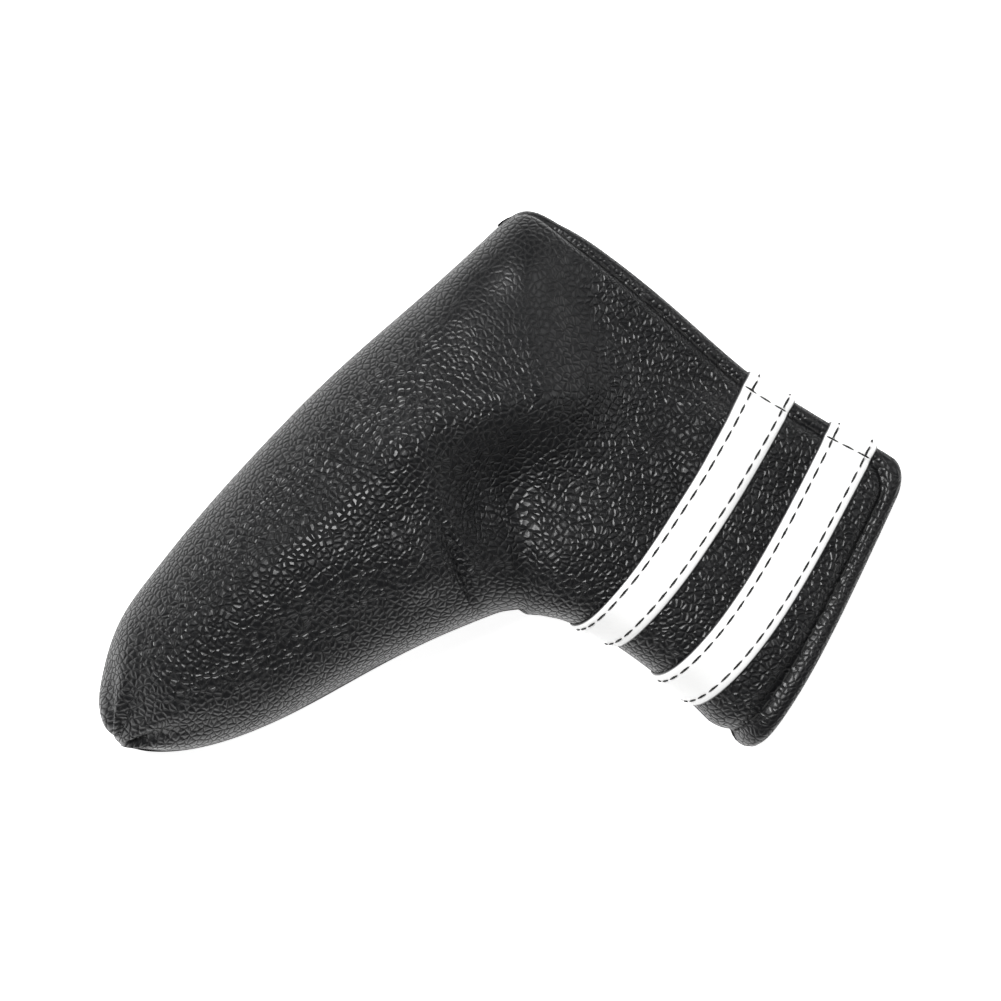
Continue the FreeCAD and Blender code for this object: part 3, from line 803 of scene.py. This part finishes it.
@dataclass
class Stripe:
    """A white stripe over the leather, from inside the hem to the instep seam."""

    name: str
    stations: tuple[int, int]
    height: float = 0.75
    thickness: float = 0.7
    across: float = 92.0
    turned_in: float = 6.0
    gap: float = 0.2
    columns: int = 24
    rows: int = 130

    def walk(self, side: Side, run: np.ndarray, reach: np.ndarray, over: np.ndarray) -> np.ndarray:
        """Points at a reach in millimetres from where the hem starts to roll, negative round the roll."""
        radius = FORM.hem_size(run)
        speed = FORM.across_speed(run)
        start = radius / speed
        on = np.clip(reach / self.across, 0.0, 1.0)
        t = start + (1.0 - start) * on
        p = FORM.skin(side, run, t)
        _, normal, heelward = FORM.frame(side, run, t)
        angle = np.clip(-reach / radius, 0.0, math.pi)
        back = np.clip(-reach - math.pi * radius, 0.0, None)
        size = radius + over
        rolled = p - normal * radius[:, None]
        outward = normal * np.cos(angle)[:, None] + heelward * np.sin(angle)[:, None]
        rolled = rolled + outward * size[:, None]
        rolled = rolled - heelward * back[:, None]
        return np.where((reach > 0)[:, None], p + normal * over[:, None], rolled)

    def build(self, side: Side, look: Finish, slot: str) -> bpy.types.Object:
        """The stripe on one side."""
        first, last = (FORM.runs[i] for i in self.stations)
        wrapped = math.pi * FORM.hem_radius + self.turned_in

        def laid(u: np.ndarray, v: np.ndarray) -> np.ndarray:
            """Points of the stripe, closer together and lower at both cut edges."""
            side_u = 0.5 - 0.5 * np.cos(np.pi * u)
            run = first + (last - first) * side_u
            reach = -wrapped + (self.across + wrapped) * v
            over = self.height * (1.0 - np.abs(2.0 * side_u - 1.0) ** 10) + self.gap
            return self.walk(side, run, reach, over)

        bm = grid_mesh(self.columns, self.rows, laid)
        face_out(bm, side)
        piece = finish_mesh(f"{side.name.lower()}_{self.name}_stripe", bm, look)
        mesh = piece.data
        across = np.empty(len(mesh.vertices), dtype=np.float32)
        mesh.attributes["u"].data.foreach_get("value", across)
        edge = mesh.attributes.new("edge", "FLOAT", "POINT")
        side_u = 0.5 - 0.5 * np.cos(np.pi * across)
        edge.data.foreach_set("value", smooth(0.93, 0.96, np.abs(2.0 * side_u - 1.0)).astype(np.float32))
        thicken(piece, self.thickness)
        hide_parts(*[f"{n}_{self.name}_stripe" for n in side.parts])
        settle(piece, side)
        LOG.info("%s: %d faces", piece.name, len(piece.data.polygons))
        return piece


@dataclass
class Stitching:
    """Rows of separate stitches, each a short tapered bar of thread."""

    length: float = 3.4
    pitch: float = 4.1
    thick: float = 0.52
    high: float = 0.42

    def sew(self, bm: bmesh.types.BMesh, points: np.ndarray, normals: np.ndarray) -> None:
        """Sew one row along a path of points."""
        steps = np.linalg.norm(np.diff(points, axis=0), axis=1)
        reach = np.concatenate([[0.0], np.cumsum(steps)])
        count = max(1, int((reach[-1] - self.length) / self.pitch) + 1)
        first = 0.5 * (reach[-1] - (count - 1) * self.pitch)
        for k in range(count):
            at = first + k * self.pitch
            centre = Vector([np.interp(at, reach, points[:, i]) for i in range(3)])
            ahead = Vector([np.interp(at + 1.0, reach, points[:, i]) for i in range(3)])
            behind = Vector([np.interp(at - 1.0, reach, points[:, i]) for i in range(3)])
            normal = Vector([np.interp(at, reach, normals[:, i]) for i in range(3)]).normalized()
            forward = (ahead - behind).normalized()
            side = normal.cross(forward).normalized()
            top = forward.cross(side)
            turn = Matrix((forward, side, top)).transposed().to_4x4()
            size = Matrix.Diagonal((0.5 * self.length, 0.5 * self.thick, 0.5 * self.high, 1.0))
            place = Matrix.Translation((centre + normal * 0.06) * MM) @ turn @ size @ Matrix.Scale(MM, 4)
            bmesh.ops.create_uvsphere(bm, u_segments=8, v_segments=8, radius=1.0, matrix=place)

    def finish(self, name: str, bm: bmesh.types.BMesh, side: Side, *nodes: str) -> bpy.types.Object:
        """Make the sewn rows one piece."""
        piece = finish_mesh(name, bm, THREAD)
        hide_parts(*nodes)
        settle(piece, side)
        LOG.info("%s: %d faces", piece.name, len(piece.data.polygons))
        return piece


@dataclass
class Trim:
    """The two stripes with their stitches, and the hem's stitches, on both sides."""

    stitching: Stitching = field(default_factory=Stitching)
    inset: float = 2.1
    on_leather: float = 0.05
    on_stripe: float = 1.2

    def build(self) -> None:
        """Make the trim of both sides."""
        for side in Side:
            rows = bmesh.new()
            for name, stations in STRIPES.items():
                stripe = Stripe(name, stations)
                stripe.build(side, WHITE, "white_leather")
                for run in (FORM.runs[stations[0]] + self.inset, FORM.runs[stations[1]] - self.inset):
                    reach = np.linspace(-5.0, 90.0, 240)
                    there = np.full_like(reach, run)
                    over = np.full_like(reach, stripe.height + stripe.gap)
                    points = stripe.walk(side, there, reach, over)
                    lower = stripe.walk(side, there, reach, over - 0.5)
                    self.stitching.sew(rows, points, unit(points - lower))
            nodes = [f"{n}_stripe_stitching" for n in side.parts]
            self.stitching.finish(f"{side.name.lower()}_stripe_threads", rows, side, *nodes)
            self.hem(side)

    def hem(self, side: Side) -> None:
        """Stitches round the heel edge, over the stripes too, and round the mouth."""
        rows = bmesh.new()
        mouth = FORM.length - FORM.hem_inset / FORM.mouth_hem_share
        stops = [FORM.runs[FORM.hem_stations[0]]]
        for first, last in STRIPES.values():
            stops += [FORM.runs[first], FORM.runs[last]]
        stops.append(mouth)
        for k, (low, high) in enumerate(zip(stops, stops[1:])):
            run = np.linspace(low, high, 60)
            t = FORM.hem_inset / FORM.across_speed(run)
            self.row(rows, side, run, t, self.on_stripe if k % 2 else self.on_leather)
        t = np.linspace(0.05, 0.97, 160)
        self.row(rows, side, np.full_like(t, mouth), t, self.on_leather)
        nodes = [f"{n}_hem_stitching" for n in side.parts]
        self.stitching.finish(f"{side.name.lower()}_hem_threads", rows, side, *nodes)

    def row(self, rows: bmesh.types.BMesh, side: Side, run: np.ndarray, t: np.ndarray, over: float) -> None:
        """One row of stitches on the leather, or on a stripe that lies on it."""
        _, normals, _ = FORM.frame(side, run, t)
        self.stitching.sew(rows, FORM.skin(side, run, t, over), normals)


@dataclass
class Inside:
    """Padding and lining of both sides, and the tapes that close the heel edge."""

    columns: int = 110
    rows: int = 56

    def sheet(self, side: Side, name: str, depth: float, thickness: float, inset: float, look: Finish,
              nodes: list, across: tuple = (0.0, 1.0),
              along: tuple = (0.0, 1.0)) -> bpy.types.Object:
        """One layer under the leather.

        Args:
            side: The panel that it lies in.
            name: The piece's name.
            depth: How far its outer face lies under the leather's.
            thickness: Its thickness.
            inset: How far it stays from the opening.
            look: Its finish.
            nodes: The CAD nodes that it stands for.
            across: First and last share across.
            along: First and last share of the cover's length.

        Returns:
            The piece.
        """

        def laid(u: np.ndarray, v: np.ndarray) -> np.ndarray:
            """Points of the layer's outer face."""
            run = FORM.length * (along[0] + (along[1] - along[0]) * u)
            run = np.minimum(np.maximum(run, 1.5), FORM.length - inset)
            start = inset / FORM.across_speed(run) * smooth(0.0, 0.5, FORM.hem_size(run))
            low, high = max(across[0], 0.0), across[1]
            t = np.clip(low + (high - low) * v, start, 1.0)
            return FORM.skin(side, run, t, -depth)

        bm = grid_mesh(self.columns, self.rows, laid)
        face_out(bm, side)
        piece = finish_mesh(name, bm, look)
        thicken(piece, thickness)
        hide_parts(*nodes)
        settle(piece, side)
        LOG.info("%s: %d faces", piece.name, len(piece.data.polygons))
        return piece

    def build(self) -> None:
        """Make every layer."""
        for side in Side:
            word = side.name.lower()
            nodes = [n + "_padding" for n in side.parts]
            foam = self.sheet(side, word + "_foam", 1.5, 1.9, 6.5, FOAM, nodes)
            nodes = [n + "_lining" for n in side.parts]
            self.sheet(side, word + "_fleece", 3.7, 0.8, 4.0, FLEECE, nodes)
        self.tape(Side.BACK, "hook_tape", HOOKS)
        self.tape(Side.FRONT, "loop_tape", LOOPS)

    def tape(self, side: Side, name: str, look: Finish) -> None:
        """One tape inside the heel edge, sewn on along its two long edges."""
        speed = float(FORM.across_speed(np.array([FORM.runs[15]]))[0])
        across = (5.0 / speed, 21.0 / speed)
        along = ((FORM.runs[14] + 4.0) / FORM.length, FORM.runs[18] / FORM.length)
        self.sheet(side, name + "_band", 4.8, 1.1, 0.0, look, [name], across, along)
        rows = bmesh.new()
        sew = Stitching()
        run = np.linspace(along[0] * FORM.length + 1.8, along[1] * FORM.length - 1.8, 60)
        for share in (across[0] + 1.8 / speed, across[1] - 1.8 / speed):
            t = np.full_like(run, share)
            _, normal, _ = FORM.frame(side, run, t)
            sew.sew(rows, FORM.skin(side, run, t, -5.95), -normal)
        piece = finish_mesh(name + "_threads", rows, THREAD)
        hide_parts(name + "_stitching")
        settle(piece, side)


@dataclass
class Studio:
    """Pale floor, soft lights and the camera, straight over the cover."""

    right: tuple = (-0.682, 0.7314, 0.0)
    up: tuple = (-0.7314, -0.682, 0.0)
    middle: tuple = (-0.0160, -0.0179)
    frame_width: float = 0.2383
    distance: float = 1.0
    focus_height: float = 0.018

    def build(self) -> None:
        """Make the studio."""
        self.camera()
        self.floor()
        self.light("key", (-0.26, 0.24), 0.85, 0.32, 9.6)
        self.light("side", (0.70, 0.30), 0.60, 0.40, 1.4)
        world = bpy.data.worlds.new("studio")
        bpy.context.scene.world = world
        world.use_nodes = True
        world.node_tree.nodes["Background"].inputs["Color"].default_value = (1.0, 1.0, 1.0, 1.0)
        world.node_tree.nodes["Background"].inputs["Strength"].default_value = 0.10
        bpy.context.scene.view_settings.view_transform = "Standard"

    def camera(self) -> None:
        """A long lens at the height that shows the right width."""
        data = bpy.data.cameras.new("camera")
        data.lens = data.sensor_width * self.distance / self.frame_width
        camera = bpy.data.objects.new("camera", data)
        right, up = Vector(self.right).normalized(), Vector(self.up).normalized()
        turn = Matrix((right, up, right.cross(up))).transposed().to_4x4()
        camera.matrix_world = Matrix.Translation((*self.middle, self.distance + self.focus_height)) @ turn
        bpy.context.scene.collection.objects.link(camera)
        bpy.context.scene.camera = camera

    def floor(self) -> None:
        """A white light table under the cover."""
        bm = bmesh.new()
        bmesh.ops.create_grid(bm, x_segments=1, y_segments=1, size=6.0)
        mesh = bpy.data.meshes.new("floor")
        bm.to_mesh(mesh)
        bm.free()
        floor = bpy.data.objects.new("floor", mesh)
        mesh.transform(Matrix.Translation((0.0, 0.0, -0.0003)))
        bpy.context.scene.collection.objects.link(floor)
        paint = bpy.data.materials.new("floor_white")
        paint.use_nodes = True
        shader = paint.node_tree.nodes["Principled BSDF"]
        shader.inputs["Base Color"].default_value = (0.93, 0.93, 0.93, 1.0)
        shader.inputs["Roughness"].default_value = 0.9
        shader.inputs["Emission Color"].default_value = (1.0, 1.0, 1.0, 1.0)
        shader.inputs["Emission Strength"].default_value = 0.9
        mesh.materials.append(paint)

    def light(self, name: str, where: tuple[float, float], height: float, size: float, power: float) -> None:
        """One square soft light, placed by its distances to the right of and above the middle of the view."""
        data = bpy.data.lights.new(name, "AREA")
        data.shape = "SQUARE"
        data.size = size
        data.energy = power
        lamp = bpy.data.objects.new(name, data)
        middle = Vector((*self.middle, 0.0))
        place = middle + Vector(self.right) * where[0] + Vector(self.up) * where[1] + Vector((0, 0, height))
        lamp.location = place
        lamp.rotation_euler = (middle - place).to_track_quat("-Z", "Y").to_euler()
        bpy.context.scene.collection.objects.link(lamp)


def main() -> None:
    """Build the cover and its studio."""
    Studio().build()
    shell = Shell()
    for side in Side:
        shell.build(side)
    Trim().build()
    Inside().build()


if __name__ == "__main__":
    main()
